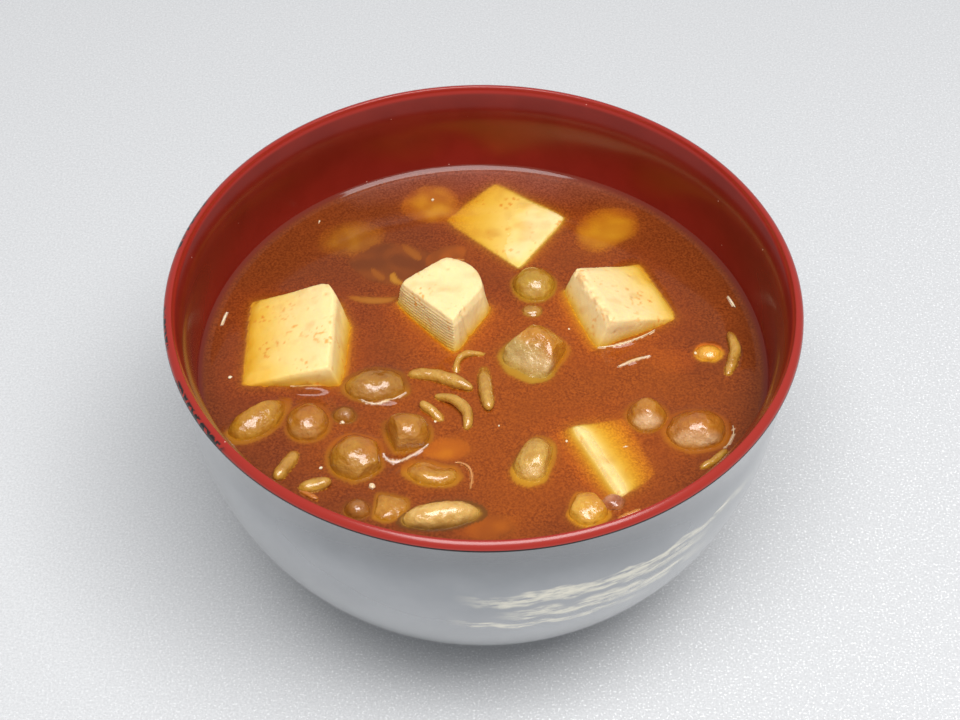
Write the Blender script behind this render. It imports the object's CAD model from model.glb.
"""Looks of the miso soup: its lacquered bowl, the soup, tofu and nameko mushrooms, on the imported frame.

Shapes are worked out in millimetres in the frame of the CAD model, and scaled to metres when a piece is
made. The diner's side is -Y.
"""

import math
from collections import namedtuple

import bmesh
import bpy
import numpy as np
from mathutils import Matrix, Vector, noise
from mathutils.bvhtree import BVHTree


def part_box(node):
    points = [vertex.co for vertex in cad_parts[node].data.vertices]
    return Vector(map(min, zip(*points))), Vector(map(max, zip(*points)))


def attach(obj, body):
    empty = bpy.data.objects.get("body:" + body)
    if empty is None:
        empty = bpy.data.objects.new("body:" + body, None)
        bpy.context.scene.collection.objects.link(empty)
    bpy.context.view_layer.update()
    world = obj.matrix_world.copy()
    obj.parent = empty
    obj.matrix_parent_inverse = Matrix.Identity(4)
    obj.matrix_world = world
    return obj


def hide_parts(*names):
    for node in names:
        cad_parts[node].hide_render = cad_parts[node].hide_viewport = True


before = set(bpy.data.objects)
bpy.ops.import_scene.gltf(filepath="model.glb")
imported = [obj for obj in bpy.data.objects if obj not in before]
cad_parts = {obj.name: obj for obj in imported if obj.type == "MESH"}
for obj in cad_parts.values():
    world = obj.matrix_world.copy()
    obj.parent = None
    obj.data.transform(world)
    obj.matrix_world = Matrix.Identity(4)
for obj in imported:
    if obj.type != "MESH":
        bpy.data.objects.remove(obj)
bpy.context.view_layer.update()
scene = bpy.context.scene

MM = 0.001
BOWL_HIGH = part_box("bowl")[1]
RIM_RADIUS = BOWL_HIGH.x / MM
BOWL_HEIGHT = BOWL_HIGH.z / MM
# How far the CAD model's soup creeps up the wall, and how far the bare surface here lies under its level,
# which leaves room for what stands up from it.
CREEP_RISE = 0.5
SURFACE_DROP = 0.25
SOUP_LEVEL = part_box("soup")[1].z / MM - CREEP_RISE - SURFACE_DROP
UP = np.array((0.0, 0.0, 1.0))

rng = np.random.default_rng(7)


# Meshes


def linear(red, green, blue):
    """A colour as linear light, from its values out of 255."""
    shares = np.array((red, green, blue)) / 255
    return np.where(shares <= 10 / 255, shares / 12.92, ((shares + 0.055) / 1.055) ** 2.4)


def points_of(mesh):
    flat = np.empty(len(mesh.vertices) * 3, np.float32)
    mesh.vertices.foreach_get("co", flat)
    return flat.reshape(-1, 3).astype(float)


def normals_of(mesh):
    flat = np.empty(len(mesh.vertices) * 3, np.float32)
    mesh.vertex_normals.foreach_get("vector", flat)
    return flat.reshape(-1, 3).astype(float)


def set_points(mesh, points):
    mesh.vertices.foreach_set("co", np.asarray(points, np.float32).ravel())
    mesh.update()


def noise_at(points, scale, seed=0.0):
    """Smooth noise from -1 to 1 at each point, where scale is the size of its lumps in millimetres."""
    return np.array([noise.noise(Vector(p)) for p in points / scale + seed])


def smoothstep(low, high, value):
    share = np.clip((value - low) / (high - low), 0, 1)
    return share * share * (3 - 2 * share)


def blended(first, second, share):
    """Rows that go from first to second with each row's share."""
    return first * (1 - share)[:, None] + second * share[:, None]


def bell(distance, width):
    """1 at no distance, falling smoothly to almost nothing at twice the width."""
    return np.exp(-((distance / width) ** 2))


def towards(points, origin, way):
    """How far each point lies from an origin along a direction."""
    return (points - np.array(origin)) @ (np.array(way) / np.linalg.norm(way))


def mesh_from(points, faces):
    mesh = bpy.data.meshes.new("shape")
    mesh.from_pydata([tuple(p) for p in points], [], [tuple(f) for f in faces])
    mesh.update()
    return mesh


def modified(mesh, *steps):
    """The mesh after modifiers, each given as its kind and settings."""
    holder = bpy.data.objects.new("holder", mesh)
    scene.collection.objects.link(holder)
    for kind, settings in steps:
        modifier = holder.modifiers.new(kind.lower(), kind)
        for key, value in settings.items():
            setattr(modifier, key, value)
    bpy.context.view_layer.update()
    made = bpy.data.meshes.new_from_object(holder.evaluated_get(bpy.context.evaluated_depsgraph_get()))
    bpy.data.objects.remove(holder)
    return made


def subdivided(mesh, levels):
    return modified(mesh, ("SUBSURF", {"levels": levels, "render_levels": levels}))


def cad_shape(name):
    """A CAD node's welded mesh in millimetres, with its triangles paired into quads."""
    weld_distance, bend = 0.001, math.radians(60)
    bm = bmesh.new()
    bm.from_mesh(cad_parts[name].data)
    bmesh.ops.scale(bm, verts=bm.verts, vec=(1 / MM, 1 / MM, 1 / MM))
    bmesh.ops.remove_doubles(bm, verts=bm.verts, dist=weld_distance)
    bmesh.ops.join_triangles(bm, faces=bm.faces, angle_face_threshold=bend, angle_shape_threshold=bend)
    mesh = bpy.data.meshes.new(name)
    bm.to_mesh(mesh)
    bm.free()
    return mesh


def piece(name, mesh, material, replaces=(), colours=None):
    """Make a visible piece of a mesh in millimetres, riding on the one body."""
    set_points(mesh, points_of(mesh) * MM)
    mesh.materials.clear()
    for one in material if isinstance(material, (list, tuple)) else [material]:
        mesh.materials.append(one)
    mesh.shade_smooth()
    if colours is not None:
        layer = mesh.color_attributes.new("tint", "FLOAT_COLOR", "POINT")
        if colours.shape[1] == 3:
            colours = np.c_[colours, np.ones(len(colours))]
        layer.data.foreach_set("color", colours.astype(np.float32).ravel())
    made = bpy.data.objects.new(name, mesh)
    scene.collection.objects.link(made)
    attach(made, "root")
    if replaces:
        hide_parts(*replaces)
    return made


# Materials


def add_node(tree, kind, values=None, **settings):
    """A shader node. Its values are by input name or number, each a constant or another node's output."""
    made = tree.nodes.new("ShaderNode" + kind)
    for key, value in settings.items():
        setattr(made, key, value)
    for key, value in (values or {}).items():
        if isinstance(value, bpy.types.NodeSocket):
            tree.links.new(value, made.inputs[key])
        else:
            made.inputs[key].default_value = value
    return made


def maths(tree, operation, first, second=0.0, third=0.0):
    return add_node(tree, "Math", {0: first, 1: second, 2: third}, operation=operation).outputs[0]


def ramp(tree, value, low, high, start=0.0, end=1.0):
    """value from low to high, taken smoothly to start to end."""
    made = add_node(
        tree, "MapRange", {0: value, 1: low, 2: high, 3: start, 4: end}, interpolation_type="SMOOTHSTEP"
    )
    return made.outputs[0]


def mix_colour(tree, share, first, second, blend="MIX"):
    made = tree.nodes.new("ShaderNodeMix")
    made.data_type = "RGBA"
    made.blend_type = blend
    for key, value in ((0, share), (6, first), (7, second)):
        if isinstance(value, bpy.types.NodeSocket):
            tree.links.new(value, made.inputs[key])
        elif key == 0:
            made.inputs[key].default_value = value
        else:
            made.inputs[key].default_value = (*value, 1.0)
    return made.outputs[2]


def noise_node(tree, place, size, detail=2.0, roughness=0.5, stretch=None):
    """Noise whose lumps are about size millimetres, on object coordinates."""
    if stretch:
        place = add_node(tree, "Mapping", {"Vector": place, "Scale": stretch}).outputs[0]
    values = {"Vector": place, "Scale": 1 / (size * MM), "Detail": detail, "Roughness": roughness}
    return add_node(tree, "TexNoise", values).outputs[0]


def new_material(name, **constants):
    """A material with its Principled shader's constants set, and its object coordinates."""
    made = bpy.data.materials.new(name)
    made.use_nodes = True
    tree = made.node_tree
    shader = tree.nodes["Principled BSDF"]
    for key, value in constants.items():
        shader.inputs[key.replace("_", " ")].default_value = value
    place = tree.nodes.new("ShaderNodeTexCoord").outputs["Object"]
    return made, tree, shader, place


def turn_of(tree, axes):
    """The turn about the bowl's axis, in radians from the diner's side, to the right."""
    return maths(tree, "ARCTAN2", axes[0], maths(tree, "MULTIPLY", axes[1], -1.0))


def bump(tree, shader, height, distance_mm, strength):
    made = add_node(tree, "Bump", {"Strength": strength, "Distance": distance_mm * MM, "Height": height})
    tree.links.new(made.outputs[0], shader.inputs["Normal"])


def broth_material():
    made, tree, shader, place = new_material("broth", Roughness=0.07, IOR=1.34)
    stored = add_node(tree, "Attribute", attribute_name="tint").outputs
    tint = stored["Color"]
    grain = noise_node(tree, place, 0.42, detail=3.0, roughness=0.65)
    drift = noise_node(tree, place, 5.0, detail=3.0)
    murk = maths(tree, "MULTIPLY", stored["Alpha"], ramp(tree, drift, 0.3, 0.7, 0.55, 1.0))
    dark = mix_colour(tree, 1.0, tint, (0.64, 0.55, 0.54), "MULTIPLY")
    light = mix_colour(tree, 1.0, tint, (1.32, 1.38, 1.30), "MULTIPLY")
    speckled = mix_colour(tree, ramp(tree, grain, 0.30, 0.70), dark, light)
    tree.links.new(mix_colour(tree, murk, tint, speckled), shader.inputs["Base Color"])
    bump(tree, shader, noise_node(tree, place, 2.5, detail=1.0), 0.02, 0.12)
    return made


def tofu_material():
    made, tree, shader, place = new_material(
        "tofu", Roughness=0.38, IOR=1.38, Subsurface_Weight=0.25, Subsurface_Scale=0.0015
    )
    shader.inputs["Subsurface Radius"].default_value = (1.0, 0.6, 0.25)
    tint = add_node(tree, "Attribute", attribute_name="tint").outputs["Color"]
    mottle = noise_node(tree, place, 3.0, detail=4.0, roughness=0.6)
    colour = mix_colour(tree, ramp(tree, mottle, 0.3, 0.75, 0.0, 0.12), tint, (0.80, 0.55, 0.22))
    tree.links.new(colour, shader.inputs["Base Color"])
    bump(tree, shader, noise_node(tree, place, 0.5, detail=3.0), 0.05, 0.5)
    return made


def nameko_material():
    made, tree, shader, place = new_material(
        "nameko",
        Roughness=0.20,
        IOR=1.45,
        Coat_Weight=0.9,
        Coat_Roughness=0.10,
        Subsurface_Weight=0.2,
        Subsurface_Scale=0.001,
    )
    shader.inputs["Subsurface Radius"].default_value = (1.0, 0.45, 0.15)
    tint = add_node(tree, "Attribute", attribute_name="tint").outputs["Color"]
    mottle = noise_node(tree, place, 1.6, detail=4.0, roughness=0.6)
    darker = mix_colour(tree, 1.0, tint, (0.84, 0.74, 0.60), "MULTIPLY")
    colour = mix_colour(tree, ramp(tree, mottle, 0.32, 0.68), darker, tint)
    tree.links.new(colour, shader.inputs["Base Color"])
    bump(tree, shader, noise_node(tree, place, 0.8, detail=2.5), 0.34, 0.85)
    return made


# Where the red is worn off the lip's outer edge: turn from the diner's side at each end, in degrees, and
# width in millimetres.
CHIPS = ((-114.0, -100.0, 1.0), (-86.0, -76.0, 0.7), (-68.0, -50.0, 0.7))


def worn_edge(tree, colour, place, turn, reach):
    """The colour with dark chips along the outer edge of the lip."""
    scratches = noise_node(tree, place, 0.9, detail=2.0)
    for start, end, width in CHIPS:
        window = ramp(tree, turn, math.radians(start - 1), math.radians(start + 1))
        close = ramp(tree, turn, math.radians(end + 1), math.radians(end - 1))
        window = maths(tree, "MULTIPLY", window, close)
        outer = ramp(tree, reach, (RIM_RADIUS - width) * MM, (RIM_RADIUS - width + 0.3) * MM)
        worn = maths(tree, "MULTIPLY", window, outer)
        worn = maths(tree, "MULTIPLY", ramp(tree, scratches, 0.45, 0.49), worn)
        colour = mix_colour(tree, worn, colour, (0.012, 0.010, 0.010))
    return colour


def red_material():
    """Deep red on the wall, a little paler low down, bright red on the lip, with chips and specks of dust."""
    made, tree, shader, place = new_material("red_lacquer", Roughness=0.22, IOR=1.5)
    axes = add_node(tree, "SeparateXYZ", {0: place}).outputs
    height = axes[2]
    out = add_node(tree, "VectorMath", {0: place, 1: (1, 1, 0)}, operation="MULTIPLY").outputs[0]
    reach = add_node(tree, "VectorMath", {0: out}, operation="LENGTH").outputs["Value"]
    drift = ramp(tree, noise_node(tree, place, 9.0, detail=3.0), 0.35, 0.65)
    colour = mix_colour(tree, drift, (0.155, 0.0100, 0.0042), (0.175, 0.0120, 0.0055))
    low = mix_colour(tree, 1.0, colour, (1.45, 1.25, 1.45), "MULTIPLY")
    colour = mix_colour(tree, ramp(tree, height, 64.0 * MM, 52.0 * MM), colour, low)
    lip = ramp(tree, reach, (RIM_RADIUS - 2.3) * MM, (RIM_RADIUS - 1.8) * MM)
    top = ramp(tree, height, (BOWL_HEIGHT - 1.8) * MM, (BOWL_HEIGHT - 1.2) * MM)
    colour = mix_colour(tree, maths(tree, "MULTIPLY", lip, top), colour, (0.34, 0.021, 0.012))
    colour = worn_edge(tree, colour, place, turn_of(tree, axes), reach)
    dust = add_node(tree, "TexVoronoi", {"Vector": place, "Scale": 1 / (4.5 * MM)}).outputs["Distance"]
    colour = mix_colour(tree, ramp(tree, dust, 0.035, 0.018), colour, (0.75, 0.42, 0.33))
    tree.links.new(colour, shader.inputs["Base Color"])
    bump(tree, shader, noise_node(tree, place, 6.0, detail=1.0), 0.02, 0.3)
    return made


def black_material():
    made, tree, shader, place = new_material("black_edge", Roughness=0.5, IOR=1.3)
    drift = noise_node(tree, place, 2.0, detail=3.0)
    colour = mix_colour(tree, ramp(tree, drift, 0.4, 0.7), (0.008, 0.007, 0.008), (0.020, 0.014, 0.014))
    tree.links.new(colour, shader.inputs["Base Color"])
    return made


# Pale brush strokes on the outside: height at their left end and right end, turn from the diner's side
# at each end in degrees, and half width, in millimetres.
STROKES = (
    (50.0, 51.0, 6.0, 60.0, 1.5),
    (49.0, 47.5, 0.0, 46.0, 1.7),
    (44.5, 43.0, 6.0, 46.0, 2.0),
    (40.5, 39.0, -3.0, 32.0, 1.3),
)


def brushed(tree, colour, turn, place):
    """The colour with the pale strokes, whose edges are ragged along the brush's way."""
    height = maths(tree, "MULTIPLY", place[2], 1 / MM)
    along_wall = maths(tree, "MULTIPLY", turn, 0.055)
    wall_place = add_node(tree, "CombineXYZ", {0: along_wall, 1: 0.0, 2: place[2]}).outputs[0]
    ragged = noise_node(tree, wall_place, 6.0, detail=4.0, roughness=0.7, stretch=(1.0, 1.0, 5.0))
    wavy = noise_node(tree, wall_place, 9.0, detail=2.0)
    for left, right, start, end, half in STROKES:
        past_start = maths(tree, "SUBTRACT", turn, math.radians(start))
        along = maths(tree, "DIVIDE", past_start, math.radians(end - start))
        middle = maths(tree, "MULTIPLY_ADD", along, right - left, left)
        middle = maths(tree, "ADD", middle, ramp(tree, wavy, 0.3, 0.7, -1.0, 1.0))
        off = maths(tree, "ABSOLUTE", maths(tree, "SUBTRACT", height, middle))
        inside = ramp(tree, off, half, half * 0.5)
        ends = maths(tree, "MULTIPLY", ramp(tree, along, -0.12, 0.12), ramp(tree, along, 1.1, 0.8))
        mask = maths(tree, "MULTIPLY", inside, ends)
        mask = maths(tree, "MULTIPLY", mask, ramp(tree, ragged, 0.36, 0.60))
        colour = mix_colour(tree, maths(tree, "MULTIPLY", mask, 0.85), colour, (0.80, 0.76, 0.62))
    return colour


def grey_material():
    """Blue-grey lacquer, darker under the lip on the diner's side, with the brushed strokes."""
    made, tree, shader, place = new_material(
        "grey_lacquer", Roughness=0.26, Metallic=0.55, Coat_Weight=0.6, Coat_Roughness=0.06
    )
    axes = add_node(tree, "SeparateXYZ", {0: place}).outputs
    turn = turn_of(tree, axes)
    drift = ramp(tree, noise_node(tree, place, 12.0, detail=3.0), 0.35, 0.65)
    colour = mix_colour(tree, drift, (0.285, 0.298, 0.316), (0.325, 0.338, 0.356))
    facing = ramp(tree, maths(tree, "ABSOLUTE", turn), math.radians(70), math.radians(20))
    strength = maths(tree, "MULTIPLY_ADD", facing, 0.42, 0.14)
    shade = maths(tree, "MULTIPLY", ramp(tree, axes[2], 50.0 * MM, 66.0 * MM), strength)
    colour = mix_colour(tree, shade, colour, (0.03, 0.033, 0.04))
    colour = brushed(tree, colour, turn, axes)
    tree.links.new(colour, shader.inputs["Base Color"])
    return made


# Bowl

# The zones of the bowl's section, which are its material slots too.
GREY, BLACK, RED = 0, 1, 2
WALL_RADIUS = RIM_RADIUS - 2.0
WALL_CENTRE = 58.0
WALL_POWER = 2.2
WALL_THICKNESS = 2.3
FLARE_START = 56.0
# The foot and the underside, from the middle outwards: radius and height.
FOOT = (
    (0, 4.6),
    (18.0, 4.6),
    (23.0, 4.6),
    (23.9, 4.3),
    (24.6, 1.2),
    (25.0, 0.3),
    (25.6, 0.0),
    (27.4, 0.0),
    (28.0, 0.3),
    (28.25, 1.0),
    (27.5, 4.4),
    (27.4, 5.6),
)
# The lip from its outer side to its inner side: how far in from the rim's edge, how far down from its top,
# and zone.
LIP = (
    (0.0, 1.45, BLACK),
    (0.03, 1.15, RED),
    (0.12, 0.86, RED),
    (0.30, 0.58, RED),
    (0.60, 0.31, RED),
    (0.90, 0.13, RED),
    (1.12, 0.03, RED),
    (1.28, 0.0, RED),
    (1.44, 0.05, RED),
    (1.57, 0.20, RED),
    (1.65, 0.50, RED),
    (1.75, 1.0, RED),
)
INNER_FLARE = 3.6
FLOOR_HEIGHT = 10.5
BOWL_TURNS = 320


def wall_radius(height, inset=0.0, floor=1.0, flare_power=2, widening=RIM_RADIUS - WALL_RADIUS):
    """Radius of the bowl's wall, as in the CAD model: a superellipse that flares towards the rim."""
    drop = max(0.0, (WALL_CENTRE - height) / (WALL_CENTRE - floor))
    body = (1 - min(1.0, drop**WALL_POWER)) ** (1 / WALL_POWER)
    flare = max(0.0, (height - FLARE_START) / (BOWL_HEIGHT - FLARE_START)) ** flare_power
    return (WALL_RADIUS - inset) * body + widening * flare


def inner_radius(height):
    return wall_radius(height, WALL_THICKNESS, FLOOR_HEIGHT, flare_power=4, widening=INNER_FLARE)


def bowl_profile():
    """The section from the middle of the underside to the middle of the floor, each point with a zone."""
    profile = [(radius, height, GREY) for radius, height in FOOT]
    profile.append((wall_radius(6.9) - 0.3, 6.5, GREY))
    profile += [(wall_radius(h), h, GREY) for h in np.linspace(7.2, 65.2, 44)]
    profile += [(wall_radius(h), h, BLACK) for h in (65.5, 65.9, 66.3)]
    profile += [(RIM_RADIUS - inward, BOWL_HEIGHT - drop, zone) for inward, drop, zone in LIP]
    profile += [(inner_radius(h), h, RED) for h in np.linspace(66.5, 47.0, 28)]
    profile += [(inner_radius(h), h, RED) for h in np.linspace(44.0, 11.0, 14)]
    profile.append((0, FLOOR_HEIGHT, RED))
    return profile


def lathe(profile, turns):
    """Points and quads of a profile of (radius, height) turned about Z, with a pole at radius 0."""
    angles = np.arange(turns) * math.tau / turns
    points, rows, faces = [], [], []
    for radius, height in profile:
        start = len(points)
        if radius == 0:
            points.append((0, 0, height))
            rows.append([start] * turns)
            continue
        points += [(radius * math.cos(a), radius * math.sin(a), height) for a in angles]
        rows.append(list(range(start, start + turns)))
    for row, after in zip(rows, rows[1:]):
        for i in range(turns):
            j = (i + 1) % turns
            faces.append(list(dict.fromkeys((row[i], row[j], after[j], after[i]))))
    return points, faces


def make_bowl():
    profile = bowl_profile()
    points, faces = lathe([p[:2] for p in profile], BOWL_TURNS)
    mesh = mesh_from(points, faces)
    zones = np.repeat([min(a[2], b[2]) for a, b in zip(profile, profile[1:])], BOWL_TURNS)
    materials = [grey_material(), black_material(), red_material()]
    made = piece("bowl_lacquer", mesh, materials, ["bowl"])
    made.data.polygons.foreach_set("material_index", zones.astype(np.int32))
    made.data.update()


# Toppings

CREAM = linear(250, 224, 166)
OCHRE = linear(205, 130, 45)
FLECK = linear(236, 156, 62)
BROTH = linear(140, 66, 28)
# How far red, green and blue light gets down through the soup, and sideways beside a piece.
REACH = np.array([4.8, 2.1, 0.50])
SIDE_REACH = np.array([2.4, 1.0, 0.3])
# The film of soup on a piece at the soup line, and how fast it thins upwards.
FILM = {
    "tofu": (1.6, 1.1),
    "tofu_left": (2.0, 1.5),
    "tofu_back": (0.5, 0.35),
    "tofu_front": (0.3, 1.0),
    "nameko": (0.55, 0.8),
    "bare": (0.05, 0.5),
}


def under_soup(colours, depths, base):
    """Colours as they look through soup of the given depths."""
    clear = np.exp(-depths[:, None] / REACH)
    return colours * clear + base * (1 - clear)


def film_of(name, slot):
    """The film of soup on a piece: none to speak of on specks and thin threads."""
    if name.startswith(("thread", "sliver", "speck")):
        return FILM["bare"]
    return FILM.get(name.rpartition("_")[0], FILM[slot])


def film(points, colours, thickness, fade):
    """Colours of a piece, soaked and covered by a film of soup that thins upwards from the soup line."""
    over = points[:, 2] - SOUP_LEVEL + noise_at(points, 3.0, 11.0) * 0.4
    return under_soup(colours, thickness * np.exp(-np.maximum(over, 0) / fade), soup_colour(points))


def shape_tofu_middle(points, normals):
    """Broken outwards on its right, lined by the knife on its left, and grooved on its front."""
    bulge, edge_length = 2.1, 11.1
    corner = np.array((-7.6, 21.8, SOUP_LEVEL + 6.2))
    along = np.clip(towards(points, corner, (7.7, -8.0, 0)) / edge_length, 0, 1)
    outward = np.array((0.72, 0.69, 0.0))
    side = smoothstep(0.0, 0.9, normals @ outward + 0.2)
    side = side * smoothstep(-6.0, 0.0, towards(points, corner, UP) + 2)
    points = points + outward * (bulge * np.clip(np.sin(math.pi * along), 0, 1) * side)[:, None]
    line_depth, line_spacing = 0.13, 0.62
    left = smoothstep(0.55, 0.85, normals @ np.array((-0.75, -0.66, 0.0)))
    down = -towards(points, (-16.3, 15.1, SOUP_LEVEL + 5.5), (-0.086, 0.098, 0.99))
    lines = np.sin(math.tau * down / line_spacing) * smoothstep(0.5, 1.4, down) * left
    points = points - normals * (line_depth * lines)[:, None]
    groove_depth, groove_width = 0.25, 0.55
    front = smoothstep(0.5, 0.9, normals @ np.array((0.82, -0.57, 0.0)))
    off = towards(points, (-3.4, 6.0, SOUP_LEVEL + 4.0), (0.57, 0.82, 0.10))
    return points - normals * (groove_depth * front * bell(off, groove_width))[:, None]


def shape_tofu_left(points, normals):
    """Its back right corner is worn round."""
    outward = np.array((0.74, 0.67, 0.0))
    extra = np.maximum(0, towards(points, (-28.4, 15.2, 0), outward) + 2.2)
    return points - outward * (extra * 0.62)[:, None]


def from_ridge(points):
    """How far each point lies from the ridge between the top and left faces of the right tofu."""
    start, way = np.array((17.1, 19.6, SOUP_LEVEL + 5.5)), np.array((0.404, -0.912, 0.066))
    return np.linalg.norm(np.cross(points - start, way), axis=1)


def shape_tofu_right(points, normals):
    """Crumbled along the ridge between its top and left faces, with a notch at the back."""
    ridge_width, ridge_rise, notch_size = 1.1, 0.30, 0.8
    rough = noise_at(points, 0.75, 31.0) + 0.6 * noise_at(points, 1.7, 37.0)
    points = points + normals * (bell(from_ridge(points), ridge_width) * rough * ridge_rise)[:, None]
    notch = np.linalg.norm(points - np.array((17.6, 18.0, SOUP_LEVEL + 5.6)), axis=1)
    return points - UP * (notch_size * bell(notch, notch_size))[:, None]


TOFU_SHAPES = {
    "tofu_middle": shape_tofu_middle,
    "tofu_left": shape_tofu_left,
    "tofu_right": shape_tofu_right,
}
# The size of the voxels that tofu is rebuilt from, finer where the knife's lines need it.
VOXEL = 0.32
FINE_VOXEL = 0.22
# Small pits in the tofu: how many, their sizes and their depth.
PITS = 18
PIT_SIZES = (0.15, 0.40)
PIT_DEPTH = 0.22


def pitted(points):
    """How deep each point lies in the pits, from 0 to 1."""
    pits = np.zeros(len(points))
    for index in rng.integers(0, len(points), PITS):
        size = rng.uniform(*PIT_SIZES)
        away = np.linalg.norm(points - points[index], axis=1)
        pits = np.maximum(pits, bell(away, size) * (size / PIT_SIZES[1]))
    return pits


def tofu_colours(name, points, pits, crumble):
    """Cream, stained by the soup in patches, pits and crumbled edges, and flecked with orange."""
    stain = smoothstep(0.30, 0.70, noise_at(points, 2.4, 17.0)) * 0.12
    if name == "tofu_right":
        patches = smoothstep(-0.2, 0.5, noise_at(points, 1.2, 51.0))
        stain += 0.45 * bell(from_ridge(points), 1.3) * patches
    stain += 0.25 * smoothstep(0.2, 0.7, noise_at(points, 3.2, 47.0))
    colours = np.tile(CREAM, (len(points), 1))
    colours += (OCHRE - colours) * np.clip(stain + 0.5 * pits + crumble * 0.5, 0, 0.8)[:, None]
    flecks = smoothstep(0.25, 0.50, noise_at(points, 0.8, 41.0))
    flecks = flecks * smoothstep(-0.1, 0.4, noise_at(points, 4.5, 43.0))
    return colours + (FLECK - colours) * (0.85 * flecks)[:, None]


def make_tofu(name):
    lined = name == "tofu_middle"
    voxel_size = FINE_VOXEL if lined else VOXEL
    mesh = modified(cad_shape(name), ("REMESH", {"mode": "VOXEL", "voxel_size": voxel_size}))
    mesh = modified(mesh, ("SMOOTH", {"iterations": 3 if lined else 2}))
    points, normals = points_of(mesh), normals_of(mesh)
    soft = points_of(modified(mesh, ("SMOOTH", {"iterations": 14})))
    edge = np.clip(np.linalg.norm(points - soft, axis=1) / 0.4, 0, 1)
    if name in TOFU_SHAPES:
        points = TOFU_SHAPES[name](points, normals)
    lumps = noise_at(points, 4.0, 3.0) * 0.10 + noise_at(points, 0.8, 5.0) * 0.035
    crumble = np.maximum(0, noise_at(points, 1.1, 9.0) - 0.15) * edge * 0.7
    pits = pitted(points)
    set_points(mesh, points + normals * (lumps - crumble - PIT_DEPTH * pits)[:, None])
    return mesh, tofu_colours(name, points, pits, crumble)


# Flat cuts on the mushrooms: the way each cut faces, and how far it is from the middle.
CUTS = {
    "cap_wedge": (((-0.55, 0.83, 0.1), 0.9),),
    "cap_cut": (((-0.93, -0.30, 0.2), 2.2), ((0.2, -0.9, 0.1), 3.0)),
    "cap_large": (((0.97, 0.10, 0.1), 3.4), ((0.6, -0.8, 0.0), 3.6)),
    "cap_flat_front": (((-1.0, 0.15, 0.0), 1.9), ((0.1, 0.95, 0.3), 1.6), ((0.0, 0.0, 1.0), 1.2)),
    "cap_folded": (((-0.35, -0.60, 0.72), 2.4), ((0.95, -0.5, 0.1), 4.4), ((-0.75, 0.75, 0.2), 3.0)),
    "cap_upright": (((-0.85, 0.50, 0.0), 2.1), ((0.98, -0.2, 0.1), 2.3)),
    "cap_pale_front": (((0.80, 0.55, 0.1), 2.2), ((-0.9, 0.3, 0.1), 2.4)),
    "cap_oval": (((0.1, 0.3, 0.95), 2.0), ((1.0, 0.2, 0.0), 4.6)),
    "cap_curled": (((0.1, 0.95, 0.2), 1.6),),
}


# How far mushrooms stand out from their CAD shapes, how much of what is past a cut goes, and how much
# wider the caps are under the soup.
CAP_SWELL = 0.34
STEM_SWELL = 0.10
CUT_SHARE = 0.82
WIDER_BELOW = 0.20


def make_cap(name, skin):
    stem = not name.startswith("cap")
    mesh = subdivided(cad_shape(name), 3)
    points, normals = points_of(mesh), normals_of(mesh)
    middle = (points.max(axis=0) + points.min(axis=0)) / 2
    seed = abs(middle[0]) + abs(middle[1])
    for facing, distance in CUTS.get(name, ()):
        way = np.array(facing) / np.linalg.norm(facing)
        past = towards(points, middle, facing) - distance + 0.15 * noise_at(points, 1.5, seed)
        points = points - way * (CUT_SHARE * np.maximum(0, past))[:, None]
    if name == "cap_curled":
        hollow = np.linalg.norm((points - middle - (1.4, 1.0, 1.8)) / (3.0, 1.5, 1.6), axis=1)
        points = points - UP * (1.7 * bell(hollow, 1.0))[:, None]
    if stem:
        lumps = noise_at(points, 2.0, seed) * 0.22 + STEM_SWELL
    else:
        folds = 1 - 2 * abs(noise_at(points, 2.2, seed + 5))
        lumps = noise_at(points, 3.4, seed) * 0.42 + folds * 0.10 + noise_at(points, 1.0, seed + 2) * 0.06
        lumps += CAP_SWELL
    points = points + normals * lumps[:, None]
    if not stem:
        under = smoothstep(0.3, -1.0, points[:, 2] - SOUP_LEVEL)[:, None]
        points[:, :2] += (points[:, :2] - middle[:2]) * under * WIDER_BELOW
    set_points(mesh, points)
    return mesh, cap_colours(name, skin, points, normals, middle)


def cap_colours(name, skin, points, normals, middle):
    """Dark at the back and light at the front and the top, except on two mushrooms, with a pale front."""
    light, dark = skin
    lightness = 0.5 * noise_at(points, 3.2, 4.0) - 0.75 * normals[:, 1] + 0.25 * normals[:, 2]
    share = smoothstep(-0.6, 0.6, lightness)
    if name == "cap_folded":
        lightness = (points - middle) @ np.array((-0.62, -0.62, -0.35)) + noise_at(points, 3.0, 4.0)
        share = smoothstep(-1.5, 1.8, lightness)
    if name == "cap_long_front":
        share = smoothstep(0.0, 0.62, normals[:, 2] + 0.1 * noise_at(points, 2.0, 4.0))
    colours = blended(dark, light, share)
    if not name.startswith("cap"):
        return colours
    pale = smoothstep(0.35, 0.85, -normals[:, 1]) * smoothstep(0.2, 1.6, points[:, 2] - SOUP_LEVEL)
    return blended(colours, PALE_SKIN, pale * PALE_SHARES.get(name, LEAST_PALE))


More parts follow.
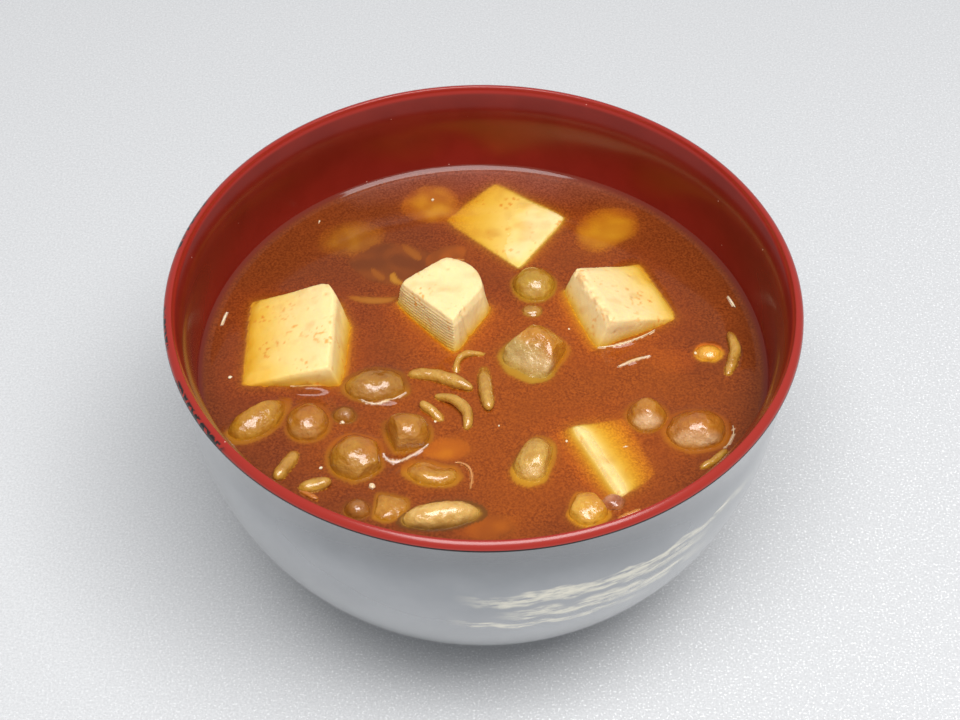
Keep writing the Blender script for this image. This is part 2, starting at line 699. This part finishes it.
# The skin of each mushroom: its light and dark colour.
SKINS = {
    "cap_back": (linear(188, 146, 46), linear(176, 112, 24)),
    "cap_folded": (linear(192, 160, 92), linear(196, 132, 38)),
    "cap_oval": (linear(176, 122, 40), linear(152, 94, 26)),
    "cap_round": (linear(186, 124, 36), linear(170, 96, 22)),
    "cap_wedge": (linear(190, 136, 38), linear(174, 102, 22)),
    "cap_small_left": (linear(164, 108, 38), linear(134, 78, 24)),
    "cap_cut": (linear(186, 126, 36), linear(172, 102, 22)),
    "cap_large": (linear(184, 128, 36), linear(184, 106, 22)),
    "cap_small_front": (linear(167, 106, 41), linear(142, 78, 25)),
    "cap_flat_front": (linear(192, 134, 42), linear(172, 110, 26)),
    "cap_long_front": (linear(226, 184, 106), linear(112, 74, 46)),
    "cap_curled": (linear(198, 142, 46), linear(184, 112, 22)),
    "cap_upright": (linear(213, 170, 82), linear(184, 126, 41)),
    "cap_right": (linear(192, 128, 40), linear(176, 100, 20)),
    "cap_wide_right": (linear(190, 122, 40), linear(172, 94, 20)),
    "cap_pale_front": (linear(222, 168, 61), linear(209, 136, 33)),
    "cap_small_right": (linear(234, 174, 61), linear(225, 126, 23)),
}
STEM_SKIN = (linear(204, 158, 72), linear(172, 116, 36))
# The pale front of the mushrooms: its colour, and its share on some of them and on the rest.
PALE_SKIN = linear(244, 210, 170)
PALE_SHARES = {
    "cap_right": 0.75,
    "cap_wide_right": 0.65,
    "cap_upright": 0.35,
    "cap_folded": 0.3,
    "cap_round": 0.2,
}
LEAST_PALE = 0.10

# What is under the surface: middle, with its height over the soup, half sizes, turn in degrees, and light
# and dark colour.
SUNK = {
    "sunk_back": ((-10.6, 42.0, -3.1), (6.2, 5.6, 2.7), 0, ((214, 162, 74), (190, 126, 44))),
    "sunk_back_right": ((24.3, 35.6, -3.35), (7.4, 5.2, 3.0), 42, ((216, 170, 62), (200, 142, 40))),
    "sunk_left_back": ((-26.1, 32.1, -3.25), (7.0, 5.0, 2.6), 10, ((180, 132, 56), (158, 104, 40))),
    "sunk_front": ((1.0, -39.3, -2.3), (6.0, 2.8, 1.9), 8, ((176, 98, 30), (160, 84, 26))),
    "sunk_middle": ((-6.3, -21.7, -2.2), (4.2, 3.0, 1.7), 12, ((206, 130, 34), (190, 108, 26))),
    "sunk_slice": ((-16.0, 24.8, -1.1), (10.2, 5.4, 0.45), -14, ((138, 76, 62), (112, 58, 52))),
    "sunk_slice_end": ((-7.4, 27.4, -0.75), (4.4, 2.6, 0.40), 30, ((170, 92, 44), (140, 74, 40))),
    "sunk_bead": ((23.4, -33.8, 0.1), (2.2, 1.7, 1.3), 0, ((204, 140, 108), (170, 104, 76))),
    "sunk_glow": ((35.0, 0.6, -4.4), (5.4, 3.6, 2.0), -10, ((184, 108, 30), (176, 98, 26))),
    "sunk_small": ((9.3, 13.0, -0.5), (1.9, 1.7, 1.2), 0, ((186, 140, 66), (166, 110, 42))),
}


def make_sunk(name, place, size, turn, skin):
    """A lumpy ball, stretched and turned."""
    bm = bmesh.new()
    bmesh.ops.create_icosphere(bm, subdivisions=5, radius=1.0)
    mesh = bpy.data.meshes.new(name)
    bm.to_mesh(mesh)
    bm.free()
    unit = points_of(mesh)
    wobble = 1 + 0.16 * noise_at(unit, 0.8, place[0])
    points = unit * wobble[:, None] * size
    cosine, sine = math.cos(math.radians(turn)), math.sin(math.radians(turn))
    spin = np.array([[cosine, sine, 0], [-sine, cosine, 0], [0, 0, 1]])
    points = points @ spin + np.array(place) + (0, 0, SOUP_LEVEL)
    set_points(mesh, points)
    light, dark = skin
    return mesh, blended(linear(*dark), linear(*light), smoothstep(-0.4, 0.6, noise_at(points, 3.0, 4.0)))


# Thin threads, slivers and scraps: the points that each passes, with heights over the soup, its half width,
# and its colour.
THREADS = {
    "thread_front": (((-4.9, -24.8, 0.1), (-2.2, -26.4, 0.3), (-2.1, -30.8, 0.0)), 0.24, (206, 140, 80)),
    "thread_wall": (((45.8, -15.5, 0.1), (45.5, -18.4, 0.2), (43.8, -21.0, 0.1)), 0.13, (226, 196, 166)),
    "sliver_left": (((-49.9, 8.4, 0.2), (-49.1, 11.8, 0.2)), 0.22, (250, 232, 206)),
    "sliver_right": (((47.1, 17.2, 0.2), (48.3, 14.3, 0.2)), 0.22, (250, 232, 206)),
    "sliver_middle": (((25.3, -1.2, 0.1), (31.4, 1.6, 0.1)), 0.30, (236, 208, 186)),
    "thread_by_tofu": (((21.6, 3.5, 0.3), (27.0, 4.6, 0.5), (32.6, 8.0, 0.4)), 0.15, (240, 214, 180)),
    "thread_by_cap": (((-17.9, -22.9, 0.2), (-15.0, -24.9, 0.3), (-9.8, -20.7, 0.3)), 0.28, (236, 208, 200)),
    "thread_by_oval": (((-22.7, -9.7, 0.2), (-19.0, -11.0, 0.3), (-14.2, -8.2, 0.3)), 0.17, (236, 208, 186)),
    "thread_by_left": (((-36.6, -6.4, 0.2), (-31.5, -7.4, 0.3), (-27.0, -4.9, 0.3)), 0.20, (240, 220, 198)),
    "arc_back": (((-11.0, 22.4, 0.0), (-7.9, 26.0, 0.0), (-3.8, 26.6, 0.0)), 0.20, (206, 134, 78)),
    "arc_back_inner": (((-10.2, 21.8, 0.0), (-7.2, 24.8, 0.0), (-3.8, 25.2, 0.0)), 0.16, (196, 120, 70)),
    "scrap_tan": (((-25.9, 16.3, -1.2), (-21.2, 15.4, -0.9), (-16.7, 16.0, -1.0)), 0.85, (178, 120, 70)),
    "scrap_hook": (((-17.5, 23.4, -1.1), (-17.4, 21.2, -0.9), (-15.4, 19.8, -0.9)), 0.80, (196, 146, 86)),
    "streak_left": (((-22.6, 25.4, -1.6), (-20.6, 22.4, -1.3), (-18.2, 20.4, -1.6)), 1.1, (160, 98, 60)),
    "streak_right": (((-16.2, 30.6, -1.6), (-13.8, 28.0, -1.3), (-11.2, 25.4, -1.6)), 1.2, (164, 102, 62)),
    "sliver_front_left": (((-32.4, -31.6, 0.1), (-29.1, -33.6, 0.3)), 0.5, (196, 118, 44)),
    "sliver_front_right": (((24.0, -37.4, 0.1), (28.0, -35.4, 0.3)), 0.5, (206, 132, 50)),
}
# Pale specks on the surface: place and half size.
SPECKS = (
    (-47.1, -4.8, 0.40),
    (-19.6, -30.5, 0.62),
    (-8.7, -15.1, 0.24),
    (-25.6, -15.6, 0.45),
    (-29.0, -26.4, 0.35),
    (15.3, -19.6, 0.30),
    (16.3, 8.3, 0.22),
    (40.0, 2.3, 0.35),
    (-32.8, 37.0, 0.22),
    (-10.4, 43.4, 0.35),
    (26.0, -20.7, 0.20),
    (3.0, -16.0, 0.20),
    (-3.4, -36.4, 0.30),
)


SPECK_SKIN = ((252, 238, 216), (246, 220, 186))
# How finely threads are made: rings along them, and points round each ring.
THREAD_RINGS = 25
THREAD_SIDES = 12


def make_thread(path, half, skin):
    """A thread through two or three points, tapered to its ends."""
    path = np.array(path)
    share = np.linspace(0, 1, THREAD_RINGS)
    if len(path) == 2:
        line = path[0] + (path[1] - path[0]) * share[:, None]
    else:
        bend = 2 * path[1] - (path[0] + path[2]) / 2
        line = (1 - share[:, None]) ** 2 * path[0] + 2 * (share * (1 - share))[:, None] * bend
        line += share[:, None] ** 2 * path[2]
    line[:, 2] += SOUP_LEVEL
    along = np.gradient(line, axis=0)
    along /= np.linalg.norm(along, axis=1)[:, None]
    aside = np.cross(along, (0, 0, 1))
    over = np.cross(aside, along)
    width = half * (0.35 + 0.65 * np.sqrt(np.sin(math.pi * np.clip(share, 0.02, 0.98))))
    width *= 1 + 0.2 * noise_at(line, 1.2, half)
    turns = np.linspace(0, math.tau, THREAD_SIDES + 1)[:-1]
    rings = [line + width[:, None] * (aside * math.cos(t) + 0.7 * over * math.sin(t)) for t in turns]
    points = np.stack(rings, axis=1).reshape(-1, 3)
    faces = []
    for start in range(0, len(points) - THREAD_SIDES, THREAD_SIDES):
        after = start + THREAD_SIDES
        for j in range(THREAD_SIDES):
            k = (j + 1) % THREAD_SIDES
            faces.append((start + j, start + k, after + k, after + j))
    faces.append(tuple(range(THREAD_SIDES)))
    faces.append(tuple(reversed(range(len(points) - THREAD_SIDES, len(points)))))
    return mesh_from(points, faces), np.tile(linear(*skin), (len(points), 1))


def make_speck(x, y, size):
    return make_sunk("speck", (x, y, 0.5 * size), (size, size * 0.8, size * 0.6), 30 * x, SPECK_SKIN)


# Soup

SOUP_CELLS = 290
# Places where the soup stands up as a clear lens or ridge: middle, turn in degrees, half length, half width
# and height.
LENSES = (
    (-32.0, -7.7, 0, 5.6, 1.7, 1.28),
    (-18.0, -10.4, 2, 4.0, 1.2, 0.81),
    (-16.0, -24.4, 8, 2.6, 1.0, 0.74),
    (-14.2, -25.2, 50, 6.9, 1.2, 0.74),
    (27.0, 5.0, 22, 6.4, 1.1, 0.74),
    (28.3, 0.2, 25, 3.6, 0.9, 0.61),
    (-3.2, -17.4, 40, 2.6, 0.9, 0.61),
    (-5.9, 4.4, 0, 2.4, 1.0, 0.68),
)
# How high the soup may climb a piece for each millimetre that the piece stands up, how tall a piece counts
# as, and how far out from it the soup starts to climb.
CLIMBS = {"tofu": 0.22, "nameko": 0.20}
TALLEST = 2.2
MENISCUS = 1.0
# The soup's slope at the wall, how far out from the wall it stays so steep, and where it ends.
WALL_SLOPE = 0.78
WALL_STEEP = 0.8
WALL_FLAT = 1.7
WALL_RED = np.array([0.16, 0.022, 0.012])
# How far the surface reaches into the wall, so that no gap shows.
EDGE_OVERLAP = 0.3
# What is looked for under each point: the share of the light that comes straight up, and for each ring of
# slanted rays the tilt in degrees, share and number.
STRAIGHT_SHARE = 0.56
SLANTED = ((28, 0.28, 6), (50, 0.16, 6))
FAR = 99.0
# The glow of a piece on the soup beside it: colour and strength.
GLOWS = {"nameko": (linear(206, 128, 40), 0.04), "tofu": (linear(226, 150, 44), 0.16)}
# The soup's own colours, and the pale sky that it mirrors at the far wall.
BROWN = linear(120, 55, 21)
ORANGE = linear(146, 70, 20)
VEIL = linear(150, 88, 76)
# Heights of the hidden rings that close the soup off under its surface.
SIDE_HEIGHTS = (50.0, 46.0, 38.0, 28.0, 20.0, 14.0, FLOOR_HEIGHT + 0.4)


def disc_grid(count, radius):
    """A square grid pressed into a disc, so that its outer rows run along the wall."""
    line = np.linspace(-1, 1, count + 1)
    a, b = np.meshgrid(line, line)
    wide = abs(a) > abs(b)
    ratio = np.where(wide, b, a) / np.where(wide, np.where(a == 0, 1, a), np.where(b == 0, 1, b))
    angle = np.where(wide, ratio * math.pi / 4, math.pi / 2 - ratio * math.pi / 4)
    reach = np.where(wide, a, b) * radius
    return reach * np.cos(angle), reach * np.sin(angle)


def climb_of_pieces(points, solids, tops):
    """How far the soup climbs the piece nearest to each point."""
    far, probe_depth = 9.0, 0.9
    height = np.zeros(len(points))
    for i, (x, y, z) in enumerate(points):
        near, _, face, away = solids.find_nearest(Vector((x, y, z + 0.15)))
        if away > far:
            continue
        inward = Vector((near.x - x, near.y - y, 0))
        probe = near + inward.normalized() * probe_depth if inward.length > 1e-6 else near
        above = solids.ray_cast(Vector((probe.x, probe.y, SOUP_LEVEL + 20)), Vector((0, 0, -1)), 20.0)[0]
        stands = max(0.0, above.z - SOUP_LEVEL) if above else 0.0
        height[i] = min(tops[face], 0.45 * stands) * math.exp(-away / MENISCUS)
    return height * (1 + 0.35 * noise_at(points, 5.0, 21.0))


def climb_of_wall(points, wall):
    """How far the soup climbs the bowl, by each point's distance from the wall."""
    steps = np.linspace(0, 3.0, 301)
    slopes = WALL_SLOPE * (1 - smoothstep(WALL_STEEP, WALL_FLAT, steps))
    climbs = (slopes.sum() - np.cumsum(slopes)) * (steps[1] - steps[0])
    return np.interp(np.maximum(wall, 0), steps, climbs) * (1 + 0.08 * noise_at(points, 9.0, 2.0))


def soup_heights(points, wall, solids, tops):
    """How far the surface stands over the soup's level, with its lenses and ripples."""
    height = climb_of_pieces(points, solids, tops)
    for x, y, turn, length, width, rise in LENSES:
        cosine, sine = math.cos(math.radians(turn)), math.sin(math.radians(turn))
        right, back = points[:, 0] - x, points[:, 1] - y
        along = right * cosine + back * sine
        across = back * cosine - right * sine
        away = (along / length) ** 2 + (across / width) ** 2
        height = np.maximum(height, rise * np.clip(1 - away, 0, 1) ** 2)
    return height + climb_of_wall(points, wall) + noise_at(points, 7.0, 33.0) * 0.03


def smoothed(field, passes=2):
    for _ in range(passes):
        around = (field[:-2, 1:-1] + field[2:, 1:-1] + field[1:-1, :-2] + field[1:-1, 2:]) / 4
        field[1:-1, 1:-1] = field[1:-1, 1:-1] * 0.4 + around * 0.6
    return field


def rays_down():
    """A ray straight down and rings of slanted ones, with the share of the light that each brings."""
    rays = [(Vector((0, 0, -1)), STRAIGHT_SHARE)]
    for tilt, share, count in SLANTED:
        lean = math.radians(tilt)
        for k in range(count):
            turn = math.tau * (k + tilt / 60) / count
            way = (math.sin(lean) * math.cos(turn), math.sin(lean) * math.sin(turn), -math.cos(lean))
            rays.append((Vector(way), share / count))
    return rays


def covering_faces(points, solids):
    """The face of the piece that covers each point of the surface, or None."""
    covering = []
    for point in points:
        _, facing, face, _ = solids.ray_cast(Vector(point), Vector((0, 0, 1)), 12.0)
        covering.append(face if face is not None and facing.z > 0 else None)
    return covering


def seen_along(way, points, base, covering, solids, colours):
    """The colour that each point sees one way, with its share of murk, and the depth of what it sees."""
    found = base.copy()
    depth = np.full(len(points), FAR)
    films = np.zeros(len(points))
    for i, point in enumerate(points):
        if covering[i] is not None:
            depth[i] = 0
            found[i] = colours[covering[i]][:3]
            films[i] = colours[covering[i]][3]
            continue
        _, facing, face, away = solids.ray_cast(Vector(point), way, 14.0)
        if face is not None:
            depth[i] = away
            # A face that looks sideways gets less light than one that looks up.
            found[i] = np.array(colours[face][:3]) * (0.42 + 0.5 * abs(facing.z))
            films[i] = colours[face][3]
    return np.c_[under_soup(found, depth + films, base), smoothstep(0.2, 3.5, depth)], depth


def soup_surface(solids, tops, colours, glows):
    """The soup's surface, which climbs the wall and each piece, tinted by what lies under and beside it."""
    edge = inner_radius(SOUP_LEVEL + CREEP_RISE) + EDGE_OVERLAP
    x, y = disc_grid(SOUP_CELLS, edge)
    shape = x.shape
    points = np.c_[x.ravel(), y.ravel(), np.full(x.size, SOUP_LEVEL)]
    wall = edge - EDGE_OVERLAP - np.hypot(points[:, 0], points[:, 1])
    points[:, 2] += smoothed(soup_heights(points, wall, solids, tops).reshape(shape)).ravel()
    base = soup_colour(points)
    covering = covering_faces(points, solids)
    seen = np.zeros((len(points), 4))
    for way, weight in rays_down():
        shown, depth = seen_along(way, points, base, covering, solids, colours)
        seen += weight * shown
        if way.z == -1:
            below, close = shown, np.exp(-depth / 1.2)
    seen = blended(seen, below, close)
    for tree, colour, strength in glows:
        away = np.array([tree.find_nearest(Vector(p))[3] for p in points])
        clear = strength * np.exp(-(away + 0.2)[:, None] / SIDE_REACH) * (1 - close)[:, None]
        seen[:, :3] = colour * clear + seen[:, :3] * (1 - clear)
    red = 1 - smoothstep(0.2, 1.2, wall)
    seen[:, :3] = blended(seen[:, :3], WALL_RED, red)
    seen[:, 3] *= 1 - red
    return points, shape, seen


def soup_colour(points):
    """The soup's own colour: browner by the wall, more orange in the middle and at the front."""
    out = np.hypot(points[:, 0] - 8, points[:, 1] + 8) / 46
    share = smoothstep(1.0, 0.35, out + 0.35 * noise_at(points, 12.0, 7.0))
    veil = 0.5 * smoothstep(40, 54, points[:, 1] + 3 * noise_at(points, 8.0, 3.0))
    return blended(blended(BROWN, ORANGE, share), VEIL, veil)


def make_soup(solids, tops, colours, glows):
    points, shape, seen = soup_surface(solids, tops, colours, glows)
    index = np.arange(len(points)).reshape(shape)
    corners = (index[:-1, :-1], index[:-1, 1:], index[1:, 1:], index[1:, :-1])
    quads = np.stack(corners, axis=-1).reshape(-1, 4)
    rim = list(index[0, :]) + list(index[1:, -1]) + list(index[-1, -2::-1]) + list(index[-2:0:-1, 0])
    edge = points[rim]
    all_points, faces, ring = [points], [tuple(q) for q in quads], rim
    count = len(points)
    tints = [seen]
    for height in SIDE_HEIGHTS:
        scale = (inner_radius(height) + 0.12) / np.hypot(edge[:, 0], edge[:, 1])
        lower = np.c_[edge[:, 0] * scale, edge[:, 1] * scale, np.full(len(edge), height)]
        after = list(range(count, count + len(lower)))
        for i in range(len(ring)):
            j = (i + 1) % len(ring)
            faces.append((ring[j], ring[i], after[i], after[j]))
        all_points.append(lower)
        tints.append(np.tile((*BROTH, 1.0), (len(lower), 1)))
        count += len(lower)
        ring = after
    faces.append(tuple(reversed(ring)))
    mesh = mesh_from(np.vstack(all_points), faces)
    piece("soup_broth", mesh, broth_material(), ["soup"], np.vstack(tints))


# One thing in the soup: the name of its piece, its mesh and colours, its slot, and the nodes it replaces.
Content = namedtuple("Content", "name mesh colours slot nodes")


def contents():
    """Everything in the soup, each with its own plain colours."""
    made = []
    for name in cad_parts:
        if name.startswith("tofu"):
            made.append(Content(name + "_curd", *make_tofu(name), "tofu", [name]))
        elif name.startswith(("cap", "stem", "strip")):
            skin = SKINS.get(name, STEM_SKIN)
            made.append(Content(name + "_skin", *make_cap(name, skin), "nameko", [name]))
    for name, shape in SUNK.items():
        made.append(Content(name + "_skin", *make_sunk(name, *shape), "nameko", []))
    for name, shape in THREADS.items():
        made.append(Content(name + "_skin", *make_thread(*shape), "nameko", []))
    for number, shape in enumerate(SPECKS):
        made.append(Content(f"speck_{number}", *make_speck(*shape), "nameko", []))
    return made


def make_contents():
    """The soup, shaped and tinted by what is in it, and then each thing with its film of soup."""
    looks = {"tofu": tofu_material(), "nameko": nameko_material()}
    made = contents()
    solids = bmesh.new()
    of_slot = {slot: bmesh.new() for slot in GLOWS}
    tops, face_colours = [], []
    for one in made:
        stands = min(TALLEST, max(0.0, points_of(one.mesh)[:, 2].max() - SOUP_LEVEL))
        thickness = film_of(one.name, one.slot)[0]
        face_colours += [(*one.colours[face.vertices[0]], thickness) for face in one.mesh.polygons]
        tops += [CLIMBS[one.slot] * stands] * len(one.mesh.polygons)
        solids.from_mesh(one.mesh)
        of_slot[one.slot].from_mesh(one.mesh)
    glows = [(BVHTree.FromBMesh(of_slot[slot]), *glow) for slot, glow in GLOWS.items()]
    make_soup(BVHTree.FromBMesh(solids), tops, face_colours, glows)
    for one in made:
        colours = film(points_of(one.mesh), one.colours, *film_of(one.name, one.slot))
        piece(one.name, one.mesh, looks[one.slot], one.nodes, colours)


# Stage


# How far the table reaches, in metres: to each side and the front, and to the back.
TABLE_REACH = 0.9
TABLE_BACK = 1.4


def make_stage():
    """A pale, finely grained table, darker towards the back, that sparkles at the front right."""
    left, right, front = -TABLE_REACH, TABLE_REACH, -TABLE_REACH
    corners = [(left, front, 0), (right, front, 0), (right, TABLE_BACK, 0), (left, TABLE_BACK, 0)]
    mesh = mesh_from(corners, [(0, 1, 2, 3)])
    look, tree, shader, place = new_material("pale_table", Roughness=0.6)
    grain = noise_node(tree, place, 0.5, detail=2.0, roughness=0.7)
    colour = mix_colour(tree, ramp(tree, grain, 0.3, 0.7), (0.60, 0.602, 0.607), (0.70, 0.702, 0.707))
    axes = add_node(tree, "SeparateXYZ", {0: place}).outputs
    colour = mix_colour(tree, ramp(tree, axes[1], 0.0, 0.7, 0.0, 0.75), colour, (0.52, 0.52, 0.525))
    flecks = ramp(tree, noise_node(tree, place, 0.45, detail=1.0), 0.60, 0.69)
    near = ramp(tree, maths(tree, "SUBTRACT", axes[0], axes[1]), -0.10, 0.15)
    sparkle = maths(tree, "MULTIPLY", flecks, maths(tree, "MULTIPLY_ADD", near, 0.8, 0.2))
    colour = mix_colour(tree, sparkle, colour, (1.0, 1.0, 1.0))
    tree.links.new(colour, shader.inputs["Base Color"])
    mesh.materials.append(look)
    floor = bpy.data.objects.new("floor", mesh)
    scene.collection.objects.link(floor)


def make_lights():
    """A pale sky all round, and one wide lamp over the diner's side."""
    world = bpy.data.worlds.new("studio")
    scene.world = world
    world.use_nodes = True
    background = world.node_tree.nodes["Background"]
    background.inputs["Color"].default_value = (0.93, 0.96, 1.0, 1.0)
    background.inputs["Strength"].default_value = 0.43
    lamp = bpy.data.lights.new("key", "AREA")
    lamp.shape = "RECTANGLE"
    lamp.size = 0.80
    lamp.size_y = 0.42
    lamp.energy = 9.6
    made = bpy.data.objects.new("key", lamp)
    made.location = (0.10, -0.30, 0.90)
    way = Vector((0.0, 0.0, 0.05)) - Vector((0.10, -0.30, 0.90))
    made.rotation_euler = way.to_track_quat("-Z", "Y").to_euler()
    scene.collection.objects.link(made)


def make_camera():
    """Placed by its own axes, in metres."""
    camera = bpy.data.cameras.new("camera")
    camera.lens = 82.5
    camera.sensor_width = 36.0
    camera.clip_start = 0.01
    made = bpy.data.objects.new("camera", camera)
    right = Vector((0.99996259, 0.00727262, 0.00468223))
    up = Vector((-0.00853471, 0.74170745, 0.67066923))
    back = right.cross(up)
    turned = Matrix((right, up, back)).transposed().to_4x4()
    made.matrix_world = Matrix.Translation((0, -0.276896, 0.355738)) @ turned
    scene.collection.objects.link(made)
    scene.camera = made


scene.view_settings.view_transform = "Standard"
scene.view_settings.look = "None"
make_bowl()
make_contents()
make_stage()
make_lights()
make_camera()
